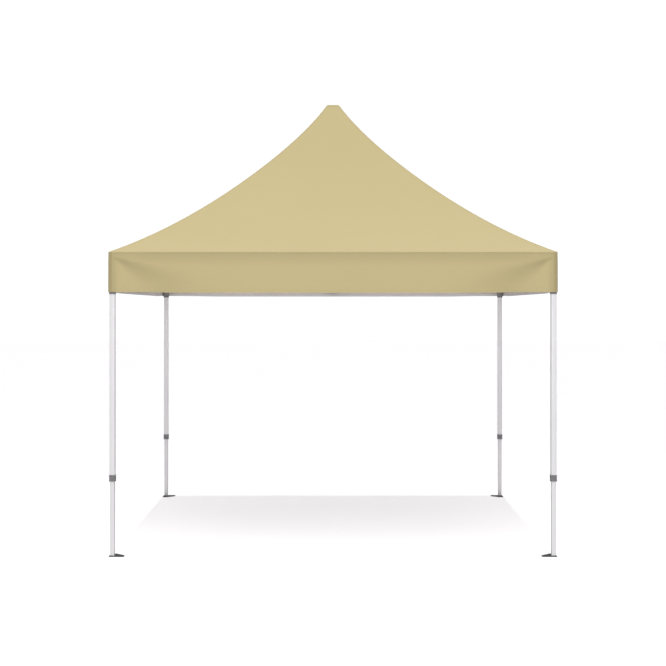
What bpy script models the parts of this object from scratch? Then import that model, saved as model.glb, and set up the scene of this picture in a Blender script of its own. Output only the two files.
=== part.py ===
"""Marquee tent of 3 m by 3 m: a folding frame on four telescopic legs, with a peaked fabric roof.

Metres, +Z up. The origin is on the ground at the middle of the tent, and the front faces -Y.
"""

import math

import bmesh
import bpy
from mathutils import Matrix, Vector

# Overall sizes
CANOPY_WIDTH = 3.000
LEG_SPACING = 2.950
EAVE_Z = 2.038
HEM_Z = 1.768
PEAK_Z = 3.234
PEAK_FLAT = 0.087
GAP = 0.0003

# Roof fabric. The rise from eave to peak is a polynomial of the way in, 0 at the eave and 1 at the peak.
ROOF_THICKNESS = 0.003
VALANCE_THICKNESS = 0.0027
ROOF_RISE = ((1, 0.55), (2, 0.39), (6, 0.06))
ROOF_STATIONS = 14
PEAK_TIP = 0.0005

# Legs: the upper tube belongs to the frame, the lower one slides in it
UPPER_LEG_WIDTH = 0.036
LOWER_LEG_WIDTH = 0.030
LEG_WALL = 0.0015
LEG_CORNER = 0.005
LEAST_CORNER = 0.0008
CORNER_POINTS = 4
LOWER_LEG_LENGTH = 0.800
UPPER_LEG_TOP = 2.0285

# Foot plate: a square with its inner corner cut off, a spigot inside the leg and a hole for a ground peg
FOOT_THICKNESS = 0.006
FOOT_OUTER = 0.022
FOOT_INNER = 0.078
FOOT_CUT = 0.015
SPIGOT_HEIGHT = 0.030
PEG_HOLE_RADIUS = 0.006
PEG_HOLE_OFFSET = 0.033

# Collar at the foot of the upper tube
COLLAR_BOTTOM = 0.504
COLLAR_TOP = 0.546
COLLAR_WIDTH = 0.0434
COLLAR_WAIST = 0.0410
COLLAR_RIM = 0.009
COLLAR_LIP = 0.0038
COLLAR_LIP_CLEARANCE = 0.0005

# Moulded brackets of the frame
BRACKET_WIDTH = 0.044
BRACKET_CORNER = 0.005
SLIDER_BOTTOM = 1.756
SLIDER_TOP = 1.840
CORNER_BRACKET_BOTTOM = 1.965
CHEEK_THICKNESS = 0.0035
CHEEK_REACH = 0.059
CHEEK_HEIGHT = 0.034
CHEEK_ROOT = 0.020
MID_BRACKET_REACH = 0.049
MID_BRACKET_HEIGHT = 0.036

# Scissor trusses: flat bars between pivots on two levels
UPPER_PIVOT_Z = 2.000
LOWER_PIVOT_Z = 1.822
PIVOT_REACH = 0.045
MID_PIVOT_REACH = 0.035
BAR_HEIGHT = 0.024
BAR_WIDTH = 0.012
BAR_OFFSET = 0.0065
BAR_END = 0.015
BAR_FUSED_END = 0.023
BOLT_RADIUS = 0.007
BOLT_HEAD = 0.004
BOLT_SIDES = 12

# Mast in the middle
MAST_WIDTH = 0.028
HUB_FLOOR = 0.006
HUB_HEIGHT = 0.040
CAP_WIDTH = 0.080
CAP_PLATE = 0.014
CAP_SOCKET_WIDTH = 0.038
CAP_SOCKET_BOTTOM = 3.160

SHARP_ANGLE = math.radians(40)
HALF_WIDTH = CANOPY_WIDTH / 2
LEG_AT = LEG_SPACING / 2
CORNERS = ("front_left", "front_right", "back_right", "back_left")
SIDES = ("front", "right", "back", "left")
QUARTER_TURN = math.pi / 2


def linear(channel):
    """The linear value of a screen colour channel from 0 to 255."""
    value = channel / 255
    return value / 12.92 if value <= 0.04045 else ((value + 0.055) / 1.055) ** 2.4


def material(name, colour, roughness, metallic=0.0):
    made = bpy.data.materials.new(name)
    made.use_nodes = True
    shader = made.node_tree.nodes["Principled BSDF"]
    shader.inputs["Base Color"].default_value = [*map(linear, colour), 1.0]
    shader.inputs["Roughness"].default_value = roughness
    shader.inputs["Metallic"].default_value = metallic
    return made


def mesh_from(name, form):
    """Turns a bmesh into a mesh whose faces point out."""
    form.normal_update()
    bmesh.ops.recalc_face_normals(form, faces=form.faces)
    if form.calc_volume(signed=True) < 0:
        bmesh.ops.reverse_faces(form, faces=form.faces)
    mesh = bpy.data.meshes.new(name)
    form.to_mesh(mesh)
    form.free()
    return mesh


def box(low, high):
    form = bmesh.new()
    bmesh.ops.create_cube(form, size=1.0)
    low, high = Vector(low), Vector(high)
    form.transform(Matrix.Translation((low + high) / 2) @ Matrix.Diagonal((*(high - low), 1.0)))
    return mesh_from("box", form)


def prism(outline, bottom, top):
    """A flat outline in X and Y, extruded upwards."""
    form = bmesh.new()
    face = form.faces.new([form.verts.new((x, y, bottom)) for x, y in outline])
    made = bmesh.ops.extrude_face_region(form, geom=[face])["geom"]
    raised = [part for part in made if isinstance(part, bmesh.types.BMVert)]
    bmesh.ops.translate(form, vec=(0, 0, top - bottom), verts=raised)
    return mesh_from("prism", form)


def cylinder(centre, axis, radius, length, sides):
    form = bmesh.new()
    bmesh.ops.create_cone(
        form, cap_ends=True, segments=sides, radius1=radius, radius2=radius, depth=length
    )
    turn = Vector(axis).to_track_quat("Z", "Y").to_matrix().to_4x4()
    form.transform(Matrix.Translation(centre) @ turn)
    return mesh_from("cylinder", form)


def bar(start, end, start_extra, end_extra):
    """A flat bar on edge from one pivot to another, reaching past each."""
    start, end = Vector(start), Vector(end)
    along = (end - start).normalized()
    side = along.cross(Vector((0, 0, 1))).normalized()
    up = side.cross(along)
    length = (end - start).length + start_extra + end_extra
    middle = (start - along * start_extra + end + along * end_extra) / 2
    form = bmesh.new()
    bmesh.ops.create_cube(form, size=1.0)
    frame = Matrix((along * length, side * BAR_WIDTH, up * BAR_HEIGHT)).transposed()
    form.transform(Matrix.Translation(middle) @ frame.to_4x4())
    return mesh_from("bar", form)


def rounded_square(half, radius):
    points = []
    for quarter in range(4):
        turn = quarter * QUARTER_TURN
        for step in range(CORNER_POINTS):
            angle = turn + QUARTER_TURN * step / (CORNER_POINTS - 1)
            x = (half - radius) * (math.cos(turn) - math.sin(turn)) + radius * math.cos(angle)
            y = (half - radius) * (math.sin(turn) + math.cos(turn)) + radius * math.sin(angle)
            points.append((x, y))
    return points


def square_ring(profile, radius):
    """A closed sleeve: a profile of (half width, height) swept round a square with rounded corners."""
    widest = max(half for half, _ in profile)
    form = bmesh.new()
    loops = []
    for half, height in profile:
        corner = max(radius - (widest - half), LEAST_CORNER)
        ring = rounded_square(half, corner)
        loops.append([form.verts.new((x, y, height)) for x, y in ring])
    for loop, following in zip(loops, loops[1:] + loops[:1]):
        for i in range(len(loop)):
            j = (i + 1) % len(loop)
            form.faces.new((loop[i], loop[j], following[j], following[i]))
    return mesh_from("sleeve", form)


def tube(width, wall, bottom, top):
    outer, inner = width / 2, width / 2 - wall
    return square_ring([(outer, bottom), (outer, top), (inner, top), (inner, bottom)], LEG_CORNER)


def fused(name, solids, cutters=()):
    """One closed mesh: the solids joined, less the cutters."""
    helpers = []
    for mesh in (*solids, *cutters):
        helper = bpy.data.objects.new("helper", mesh)
        helper.hide_render = True
        helper.display_type = "WIRE"
        bpy.context.scene.collection.objects.link(helper)
        helpers.append(helper)
    for index, helper in enumerate(helpers[1:], start=1):
        step = helpers[0].modifiers.new(f"step_{index}", "BOOLEAN")
        step.operation = "UNION" if index < len(solids) else "DIFFERENCE"
        step.solver = "EXACT"
        step.object = helper
    bpy.context.view_layer.update()
    graph = bpy.context.evaluated_depsgraph_get()
    mesh = bpy.data.meshes.new_from_object(helpers[0].evaluated_get(graph))
    mesh.name = name
    for helper in helpers:
        bpy.data.objects.remove(helper, do_unlink=True)
    return mesh


def group(name, location=(0, 0, 0)):
    """An empty that carries the pieces of one body."""
    empty = bpy.data.objects.new(name, None)
    empty.location = location
    bpy.context.scene.collection.objects.link(empty)
    return empty


def place(name, mesh, finish, parent, location=(0, 0, 0), quarter=0):
    """Adds a piece to the scene. Copies of a piece share its mesh and its material."""
    piece = bpy.data.objects.new(name, mesh)
    bpy.context.scene.collection.objects.link(piece)
    if not mesh.materials:
        mesh.materials.append(finish)
        mesh.shade_smooth()
        mesh.set_sharp_from_angle(angle=SHARP_ANGLE)
    piece.parent = parent
    piece.location = Vector(location) - parent.location
    piece.rotation_euler = (0, 0, quarter * QUARTER_TURN)
    return piece


def corner_position(quarter):
    """The axis of a leg on the ground, starting at the front left one and going anticlockwise."""
    turn = Matrix.Rotation(quarter * QUARTER_TURN, 4, "Z")
    return turn @ Vector((-LEG_AT, -LEG_AT, 0))


def cheeks(direction, offset, pivot_z, centre=(0, 0)):
    """The two plates that hold a bar's end, reaching from a bracket's middle along +X or +Y (0 or 1), or
    against them (2 or 3). The offset moves the slot to the left of that direction."""
    turn = Matrix.Rotation(direction * QUARTER_TURN, 4, "Z")
    inner = BAR_WIDTH / 2 + GAP
    low, high = pivot_z - CHEEK_HEIGHT / 2, pivot_z + CHEEK_HEIGHT / 2
    plates = []
    for side in (-1, 1):
        near = offset + side * inner
        far = offset + side * (inner + CHEEK_THICKNESS)
        plate = box(
            (CHEEK_ROOT, min(near, far), low),
            (CHEEK_REACH, max(near, far), high),
        )
        plate.transform(Matrix.Translation((*centre, 0)) @ turn)
        plates.append(plate)
    return plates


def roof_height(half):
    """The outer surface of the roof, by the half width of the square that it makes at that height."""
    way_in = min(1.0, (HALF_WIDTH - half) / (HALF_WIDTH - PEAK_FLAT / 2))
    return EAVE_Z + (PEAK_Z - EAVE_Z) * sum(share * way_in**power for power, share in ROOF_RISE)


def roof_profile():
    """Outer and inner points (half width, height), from the eave to the middle of the flat peak."""
    run = HALF_WIDTH - PEAK_FLAT / 2
    halves = [HALF_WIDTH - run * step / ROOF_STATIONS for step in range(ROOF_STATIONS + 1)]
    outer = [(half, roof_height(half)) for half in halves]
    inner = []
    for index, (half, height) in enumerate(outer):
        before = outer[max(index - 1, 0)]
        after = outer[min(index + 1, ROOF_STATIONS)]
        slope = math.atan2(after[1] - before[1], before[0] - after[0])
        if index == 0:
            inner.append((half, height - ROOF_THICKNESS / math.cos(slope)))
        elif index == ROOF_STATIONS:
            mitre = ROOF_THICKNESS * math.tan(slope / 2)
            inner.append((half - mitre, height - ROOF_THICKNESS))
        else:
            inner.append(
                (
                    half - ROOF_THICKNESS * math.sin(slope),
                    height - ROOF_THICKNESS * math.cos(slope),
                )
            )
    outer.append((PEAK_TIP, PEAK_Z))
    inner.append((PEAK_TIP, PEAK_Z - ROOF_THICKNESS))
    return outer, inner


def roof_panel():
    """The front panel of the roof, mitred along the hips. Every level line of it runs straight across."""
    outer, inner = roof_profile()
    seam = GAP / math.sqrt(2)
    form = bmesh.new()

    def across(points):
        return [
            [form.verts.new((side * (half - seam), -half, height)) for side in (-1, 1)]
            for half, height in points
        ]

    skin, lining = across(outer), across(inner)
    for rows in (skin, lining):
        for low, high in zip(rows, rows[1:]):
            form.faces.new((low[0], low[1], high[1], high[0]))
    for side in (0, 1):
        for index in range(len(skin) - 1):
            form.faces.new(
                (skin[index][side], skin[index + 1][side], lining[index + 1][side], lining[index][side])
            )
    for end in (0, -1):
        form.faces.new((skin[end][0], skin[end][1], lining[end][1], lining[end][0]))
    return mesh_from("roof_panel", form)


def valance():
    """The front strip that hangs from the eave. Each strip covers the end of the next one."""
    eave_edge = roof_profile()[1][0][1]
    return box(
        (-HALF_WIDTH, -HALF_WIDTH, HEM_Z),
        (HALF_WIDTH - VALANCE_THICKNESS - GAP, -HALF_WIDTH + VALANCE_THICKNESS, eave_edge - GAP),
    )


def foot_plate():
    low, high, cut = -FOOT_OUTER, FOOT_INNER, FOOT_CUT
    outline = [(low, low), (high, low), (high, cut), (cut, high), (low, high)]
    plate = prism(outline, 0.0, FOOT_THICKNESS)
    inset = LEG_WALL + GAP
    spigot = prism(
        rounded_square(LOWER_LEG_WIDTH / 2 - inset, LEG_CORNER - inset),
        FOOT_THICKNESS / 2,
        FOOT_THICKNESS + SPIGOT_HEIGHT,
    )
    hole = cylinder(
        (PEG_HOLE_OFFSET, PEG_HOLE_OFFSET, FOOT_THICKNESS / 2),
        (0, 0, 1),
        PEG_HOLE_RADIUS,
        FOOT_THICKNESS * 3,
        BOLT_SIDES,
    )
    return fused("foot_plate", [plate, spigot], [hole])


def leg_collar():
    """A moulded ring with a rim at each end. It holds the upper tube, and fits close round the lower one."""
    rim, waist = COLLAR_WIDTH / 2, COLLAR_WAIST / 2
    socket = UPPER_LEG_WIDTH / 2 + GAP
    lip = LOWER_LEG_WIDTH / 2 + COLLAR_LIP_CLEARANCE
    slope = rim - waist
    lip_top = COLLAR_BOTTOM + COLLAR_LIP
    profile = [
        (rim, COLLAR_BOTTOM),
        (rim, COLLAR_BOTTOM + COLLAR_RIM),
        (waist, COLLAR_BOTTOM + COLLAR_RIM + slope),
        (waist, COLLAR_TOP - COLLAR_RIM - slope),
        (rim, COLLAR_TOP - COLLAR_RIM),
        (rim, COLLAR_TOP),
        (socket, COLLAR_TOP),
        (socket, lip_top),
        (lip, lip_top),
        (lip, COLLAR_BOTTOM),
    ]
    return square_ring(profile, BRACKET_CORNER)


def sleeve(bottom, top, inside_width):
    outer, inner = BRACKET_WIDTH / 2, inside_width / 2 + GAP
    return square_ring(
        [(outer, bottom), (outer, top), (inner, top), (inner, bottom)], BRACKET_CORNER
    )


def slider_bracket():
    """The sleeve that slides on the upper tube, with two pairs of cheeks for the inner bars."""
    body = sleeve(SLIDER_BOTTOM, SLIDER_TOP, UPPER_LEG_WIDTH)
    along_x = cheeks(0, BAR_OFFSET, LOWER_PIVOT_Z)
    along_y = cheeks(1, -BAR_OFFSET, LOWER_PIVOT_Z)
    return fused("slider_bracket", [body, *along_x, *along_y])


def corner_bracket():
    """The cap of a leg, with two pairs of cheeks for the outer bars. The roof's corner lies on it."""
    half = BRACKET_WIDTH / 2
    reach = LEG_AT + half
    top = roof_height(reach) - (EAVE_Z - roof_profile()[1][0][1]) - GAP
    body = sleeve(CORNER_BRACKET_BOTTOM, top, UPPER_LEG_WIDTH)
    lid_half = half - BRACKET_CORNER / 2
    lid = box((-lid_half, -lid_half, UPPER_LEG_TOP + GAP), (lid_half, lid_half, top - GAP))
    along_x = cheeks(0, -BAR_OFFSET, UPPER_PIVOT_Z)
    along_y = cheeks(1, BAR_OFFSET, UPPER_PIVOT_Z)
    return fused("corner_bracket", [body, lid, *along_x, *along_y])


def crossing_bolt(middle, axis):
    length = 2 * (BAR_OFFSET + BAR_WIDTH / 2 + BOLT_HEAD)
    return cylinder(middle, axis, BOLT_RADIUS, length, BOLT_SIDES)


def side_truss():
    """The front pair of scissors, from leg to leg, with the two brackets that join them half way."""
    plane = -LEG_AT
    outer, inner = plane - BAR_OFFSET, plane + BAR_OFFSET
    at_leg, at_middle = LEG_AT - PIVOT_REACH, MID_PIVOT_REACH
    parts = []
    for z in (UPPER_PIVOT_Z, LOWER_PIVOT_Z):
        low, high = z - MID_BRACKET_HEIGHT / 2, z + MID_BRACKET_HEIGHT / 2
        if z == UPPER_PIVOT_Z:
            high = roof_profile()[1][0][1] - GAP
        parts.append(
            box(
                (-MID_BRACKET_REACH, plane - BRACKET_WIDTH / 2, low),
                (MID_BRACKET_REACH, plane + BRACKET_WIDTH / 2, high),
            )
        )
    parts += cheeks(1, -BAR_OFFSET, UPPER_PIVOT_Z, (0, plane))
    parts += cheeks(1, BAR_OFFSET, LOWER_PIVOT_Z, (0, plane))
    for side in (-1, 1):
        parts.append(
            bar(
                (side * at_leg, outer, UPPER_PIVOT_Z),
                (side * at_middle, outer, LOWER_PIVOT_Z),
                BAR_END,
                BAR_FUSED_END,
            )
        )
        parts.append(
            bar(
                (side * at_leg, inner, LOWER_PIVOT_Z),
                (side * at_middle, inner, UPPER_PIVOT_Z),
                BAR_END,
                BAR_FUSED_END,
            )
        )
        middle = (side * (at_leg + at_middle) / 2, plane, (UPPER_PIVOT_Z + LOWER_PIVOT_Z) / 2)
        parts.append(crossing_bolt(middle, (0, 1, 0)))
    return fused("side_truss", parts)


def inner_truss():
    """The pair of crossed bars from the front side's middle to the mast."""
    far, near = -(LEG_AT - PIVOT_REACH), -PIVOT_REACH
    parts = [
        bar((BAR_OFFSET, far, UPPER_PIVOT_Z), (BAR_OFFSET, near, LOWER_PIVOT_Z), BAR_END, BAR_END),
        bar((-BAR_OFFSET, far, LOWER_PIVOT_Z), (-BAR_OFFSET, near, UPPER_PIVOT_Z), BAR_END, BAR_END),
        crossing_bolt((0, (far + near) / 2, (UPPER_PIVOT_Z + LOWER_PIVOT_Z) / 2), (1, 0, 0)),
    ]
    return fused("inner_truss", parts)


def mast_hub(pivot_z, offset, floor):
    """A sleeve on the mast with a pair of cheeks on each side. The mast stands on the lower one's floor."""
    low, high = pivot_z - HUB_HEIGHT / 2, pivot_z + HUB_HEIGHT / 2
    parts = [sleeve(low, high, MAST_WIDTH)]
    if floor:
        half = BRACKET_WIDTH / 2 - BRACKET_CORNER / 2
        parts.append(box((-half, -half, low + GAP), (half, half, low + HUB_FLOOR - GAP)))
    for direction in range(4):
        parts += cheeks(direction, offset, pivot_z)
    return fused("mast_hub", parts)


def mast_cap():
    """A moulded block with a flat square top, which the middle of the roof lies on."""
    top = PEAK_Z - ROOF_THICKNESS - GAP
    plate_bottom = top - CAP_PLATE
    outer, inner = CAP_SOCKET_WIDTH / 2, MAST_WIDTH / 2 + GAP
    socket = square_ring(
        [
            (outer, CAP_SOCKET_BOTTOM),
            (outer, plate_bottom + CAP_PLATE / 2),
            (inner, plate_bottom + CAP_PLATE / 2),
            (inner, CAP_SOCKET_BOTTOM),
        ],
        LEG_CORNER,
    )
    half = CAP_WIDTH / 2
    plate = prism(rounded_square(half, BRACKET_CORNER), plate_bottom, top)
    return fused("mast_cap", [plate, socket])


def build():
    for old in list(bpy.data.objects):
        bpy.data.objects.remove(old, do_unlink=True)

    fabric = material("canopy_fabric", (210, 194, 146), 0.85)
    lacquer = material("white_lacquer", (236, 234, 236), 0.35)
    moulding = material("grey_moulding", (96, 94, 97), 0.55)
    plate_paint = material("dark_plate_paint", (78, 76, 79), 0.5)

    frame = group("frame")
    upper_leg = tube(UPPER_LEG_WIDTH, LEG_WALL, COLLAR_BOTTOM + COLLAR_LIP + GAP, UPPER_LEG_TOP)
    lower_bottom = FOOT_THICKNESS + GAP
    lower_leg = tube(LOWER_LEG_WIDTH, LEG_WALL, lower_bottom, lower_bottom + LOWER_LEG_LENGTH)
    corner_meshes = {
        "upper_leg": (upper_leg, lacquer),
        "leg_collar": (leg_collar(), moulding),
        "slider_bracket": (slider_bracket(), moulding),
        "corner_bracket": (corner_bracket(), moulding),
    }
    foot = foot_plate()
    for quarter, corner in enumerate(CORNERS):
        at = corner_position(quarter)
        for name, (mesh, finish) in corner_meshes.items():
            place(f"{name}_{corner}", mesh, finish, frame, at, quarter)
        slide = group(f"slide_{corner}", at)
        place(f"lower_leg_{corner}", lower_leg, lacquer, slide, at, quarter)
        place(f"foot_plate_{corner}", foot, plate_paint, slide, at, quarter)

    side_meshes = {
        "roof_panel": (roof_panel(), fabric),
        "valance": (valance(), fabric),
        "side_truss": (side_truss(), lacquer),
        "inner_truss": (inner_truss(), lacquer),
    }
    for quarter, side in enumerate(SIDES):
        for name, (mesh, finish) in side_meshes.items():
            place(f"{name}_{side}", mesh, finish, frame, (0, 0, 0), quarter)

    mast_bottom = LOWER_PIVOT_Z - HUB_HEIGHT / 2 + HUB_FLOOR
    mast_top = PEAK_Z - ROOF_THICKNESS - CAP_PLATE - 2 * GAP
    mast = tube(MAST_WIDTH, LEG_WALL, mast_bottom, mast_top)
    place("mast", mast, lacquer, frame)
    place("mast_cap", mast_cap(), moulding, frame)
    place("mast_hub_upper", mast_hub(UPPER_PIVOT_Z, -BAR_OFFSET, False), moulding, frame)
    place("mast_hub_lower", mast_hub(LOWER_PIVOT_Z, BAR_OFFSET, True), moulding, frame)


build()
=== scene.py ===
"""Looks of a folding marquee tent of 3 m by 3 m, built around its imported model.

Metres, +Z up. The origin is on the ground at the middle of the tent, and the front faces -Y.
A corner's own parts are made round its leg's axis, with +X and +Y pointing into the tent.
A side's own parts are made for the front and turned by quarters to the right, back and left.
"""

import math

import bmesh
import bpy
import numpy as np
from mathutils import Matrix, Vector


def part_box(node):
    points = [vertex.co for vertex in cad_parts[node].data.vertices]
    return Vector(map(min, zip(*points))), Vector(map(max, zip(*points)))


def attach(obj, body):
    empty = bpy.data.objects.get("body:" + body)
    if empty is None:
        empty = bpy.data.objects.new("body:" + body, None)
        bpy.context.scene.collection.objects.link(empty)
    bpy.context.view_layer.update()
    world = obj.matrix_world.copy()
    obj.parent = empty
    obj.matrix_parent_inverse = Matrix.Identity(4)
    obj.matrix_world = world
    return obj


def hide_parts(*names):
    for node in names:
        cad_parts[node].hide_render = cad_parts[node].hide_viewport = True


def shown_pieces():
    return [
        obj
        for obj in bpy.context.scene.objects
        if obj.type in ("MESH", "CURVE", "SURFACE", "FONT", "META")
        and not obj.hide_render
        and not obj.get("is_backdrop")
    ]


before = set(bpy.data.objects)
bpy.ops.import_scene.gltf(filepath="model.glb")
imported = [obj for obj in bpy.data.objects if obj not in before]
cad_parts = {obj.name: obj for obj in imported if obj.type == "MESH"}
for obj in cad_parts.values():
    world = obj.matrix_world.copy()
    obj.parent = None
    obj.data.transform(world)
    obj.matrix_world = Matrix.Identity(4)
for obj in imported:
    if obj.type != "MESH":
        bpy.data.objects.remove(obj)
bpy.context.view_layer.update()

QUARTER_TURN = math.pi / 2
CORNERS = ("front_left", "front_right", "back_right", "back_left")
SIDES = ("front", "right", "back", "left")
SMOOTH_ANGLE = math.radians(38)
CORNER_STEPS = 6

# Canopy. The rise from eave to peak is a polynomial of the way in, 0 at the eave and 1 at the peak.
HALF_WIDTH = -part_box("valance_front")[0].y
HEM_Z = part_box("valance_front")[0].z
PEAK_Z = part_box("roof_panel_front")[1].z
EAVE_Z = 2.0358
PEAK_HALF = 0.0435
ROOF_RISE = ((1, 0.535), (2, 0.4825), (3, -0.068), (10, 0.0505))
CLOTH_THICKNESS = 0.0006
EAVE_RADIUS = 0.0035
PEAK_RADIUS = 0.006
CORNER_RADIUS = 0.007
HIP_RADIUS = 0.004

# Doubled strips of the canopy: how far each reaches, how much it adds, and the stitches along it
LAYER = 0.0008
STEP = 0.0008
HEM_BAND = 0.023
EAVE_BAND_BELOW = 0.010
EAVE_BAND_ABOVE = 0.012
PATCH_REACH = 0.022
HIP_BAND = 0.011
CORNER_STRIP = 0.021
STITCH_INSET = 0.0028
STITCH_PITCH = 0.0042
STITCH_LENGTH = 0.0033
STITCH_WIDTH = 0.0009
STITCH_HEIGHT = 0.0005

# Shares by which the fabric's colour moves to its darker tones, and how far a seam puckers. The valance,
# eave, corner, crease and hollow shares are painted shade; the strip and seam shares darken the doubled
# cloth.
VALANCE_PAINTED_SHADE = 0.24
EAVE_PAINTED_SHADE = 0.23
CORNER_PAINTED_SHADE = 0.26
STRIP_SHADE = 0.44
CREASE_PAINTED_SHADE = 0.34
HOLLOW_PAINTED_SHADE = 0.14
SEAM_TONE = 0.35
HEM_TONE = 0.10
PUCKER_WIDTH = 0.012

# Folds of the canopy: how far each moves the cloth
PULL_CREASE = 0.0050
CREASE_LENS = 0.0035
HEM_KICK = 0.0090
HEM_HOLLOW = 0.0040
EAVE_TUCK = 0.0012
HEM_LIFT = 0.001
HEM_SAG = 0.0045
DRIFT = 0.0007
DRIFT_LENGTHS = (0.92, 0.57, 0.36)
DRIFT_SEED = 40
SLACK = 0.0016
SLACK_LENGTHS = (1.10, 0.74, 0.49)
SLACK_SEED = 70

# Rows and columns of the canopy's mesh. The columns lie at distances from a corner.
PROFILE_POINTS = 400
CREASE_DEPTH = 0.105
VALANCE_ROWS = 11
CREASE_ROWS = 14
ROOF_ROWS = 44
TURN_ROWS = 5
NEAR_COLUMNS = (
    0.0, 0.0014, 0.0028, 0.0042, 0.0056, 0.0080, HIP_BAND - STEP / 2, HIP_BAND + STEP / 2,
    0.0150, CORNER_STRIP - STEP / 2, CORNER_STRIP + STEP / 2, 0.0260,
)
SQUEEZED_UNDER = 0.15
FINE_COLUMNS_TO = 0.46
FINE_COLUMNS = 24
COARSE_COLUMNS = 20

# Legs and feet. The tubes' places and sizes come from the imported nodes.
LEG_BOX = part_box("upper_leg_back_right")
LEG_AT = (LEG_BOX[0].x + LEG_BOX[1].x) / 2
UPPER_LEG_HALF = (LEG_BOX[1].x - LEG_BOX[0].x) / 2
UPPER_LEG_BOTTOM, UPPER_LEG_TOP = LEG_BOX[0].z, LEG_BOX[1].z
LOWER_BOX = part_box("lower_leg_back_right")
LOWER_LEG_HALF = (LOWER_BOX[1].x - LOWER_BOX[0].x) / 2
LOWER_LEG_BOTTOM, LOWER_LEG_TOP = LOWER_BOX[0].z, LOWER_BOX[1].z
LEG_WALL = 0.0015
LEG_RADIUS = 0.005
HOLE_RADIUS = 0.0044
HOLE_PITCH = 0.120
HOLES = 4
BUTTON_Z = 0.525
COLLAR_WAIST = 0.0203
BOSS_PAD = (0.0095, 0.0125, 0.004)
BOSS_THICKNESS = 0.0026
BUTTON_RADIUS = 0.0040
BUTTON_FLAT = 0.0006
BUTTON_REACH = 0.0040
BUTTON_DOME = 0.0022
FOOT_THICKNESS = 0.006
FOOT_CUT = 0.015
SPIGOT_GAP = 0.0018
SPIGOT_TOP = 0.036
PEG_HOLE_RADIUS = 0.006
PEG_HOLE_OFFSET = 0.033

# Brackets, bars and mast
EDGE = 0.0006
FIT = 0.0004
BRACKET_HALF = 0.022
BRACKET_WAIST = 0.0206
BRACKET_RADIUS = 0.005
BAR_SIZE = (0.006, 0.012, 0.0026)
BAR_HALF_WIDTH = BAR_SIZE[0]
BAR_OFFSET = 0.0065
BAR_REACH = 0.015
BAR_CAP = 0.0025
PIVOT_REACH = 0.045
MID_PIVOT_REACH = 0.035
UPPER_PIVOT_Z = 2.000
LOWER_PIVOT_Z = 1.822
CROSSING_Z = (UPPER_PIVOT_Z + LOWER_PIVOT_Z) / 2
CROSSED_BARS = ((-BAR_OFFSET, UPPER_PIVOT_Z, LOWER_PIVOT_Z), (BAR_OFFSET, LOWER_PIVOT_Z, UPPER_PIVOT_Z))
CHEEK_ROOT = 0.020
CHEEK_HALF = 0.017
CHEEK_END = 0.0135
CHEEK_THICKNESS = 0.0035
MID_BRACKET_HALF = 0.049
MID_BRACKET_RISE = 0.018
BORE_RADIUS = 0.0085
BORE_DEPTH = 0.0058
HUB_RISE = 0.020
MAST_HALF = 0.014
MAST_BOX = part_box("mast")
CAP_HALF = 0.040
CAP_SOCKET_HALF = 0.019
RIB_THICKNESS = 0.004

# Turned fittings, as (radius, height). Those of a bolt stand on the faces that it holds together.
BOSS_RIM = (
    (0.0072, 0.0), (0.0072, 0.0038), (0.0066, 0.0044), (0.0052, 0.0044), (0.0050, 0.0030), (0.0050, 0.0),
)
WASHER = ((0.0066, 0.0), (0.0070, 0.0003), (0.0070, 0.0007), (0.0066, 0.0010))
WASHER_THICKNESS = 0.0010
BOLT_HEAD = ((0.0052, -0.0044), (0.0060, -0.0037), (0.0060, -0.0010))
BOLT_NUT = ((0.0060, 0.0010), (0.0060, 0.0042), (0.0052, 0.0049))
NUT_RING = ((0.0049, 0.0040), (0.0048, 0.0058), (0.0036, 0.0063))
THREAD_RADIUS = 0.0030
THREAD_END = ((0.0030, 0.0070), (0.0024, 0.0077))

# Pitches of the fabric's threads and of the sewing thread's twist, and a wave pattern's own pitch
THREAD_PITCH = 0.0011
SEWING_PITCH = 0.0009
WAVE_PERIOD = 0.31416

# The weld bead round a foot: how far out from the tube, and how far up from the plate
WELD_BEAD = (
    (0.0025, -0.0010), (0.0025, 0.0003), (0.0018, 0.0013),
    (0.0006, 0.0022), (0.0002, 0.0024), (0.0002, -0.0010),
)


def linear(channel):
    """The linear value of a screen colour channel from 0 to 255."""
    value = channel / 255
    return value / 12.92 if value <= 0.04045 else ((value + 0.055) / 1.055) ** 2.4


def colour(shade):
    return [*map(linear, shade), 1.0]


class Nodes:
    """Adds nodes to a tree. An input is a plain value, or another node's output to link from."""

    def __init__(self, tree):
        self.tree = tree

    def add(self, kind, inputs=None, **settings):
        """A new node's outputs."""
        made = self.tree.nodes.new("ShaderNode" + kind)
        for name, value in settings.items():
            setattr(made, name, value)
        for key, value in (inputs or {}).items():
            if isinstance(value, bpy.types.NodeSocket):
                self.tree.links.new(value, made.inputs[key])
            else:
                made.inputs[key].default_value = value
        return made.outputs

    def mix(self, share, first, second):
        return self.add("Mix", {0: share, 6: first, 7: second}, data_type="RGBA")[2]

    def between(self, value, low, high, to_low=0.0, to_high=1.0):
        """Maps a value from one range to another, without going past its ends."""
        inputs = {"Value": value, "From Min": low, "From Max": high, "To Min": to_low, "To Max": to_high}
        return self.add("MapRange", inputs)[0]

    def calculate(self, operation, first, second):
        return self.add("Math", {0: first, 1: second}, operation=operation)[0]


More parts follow.
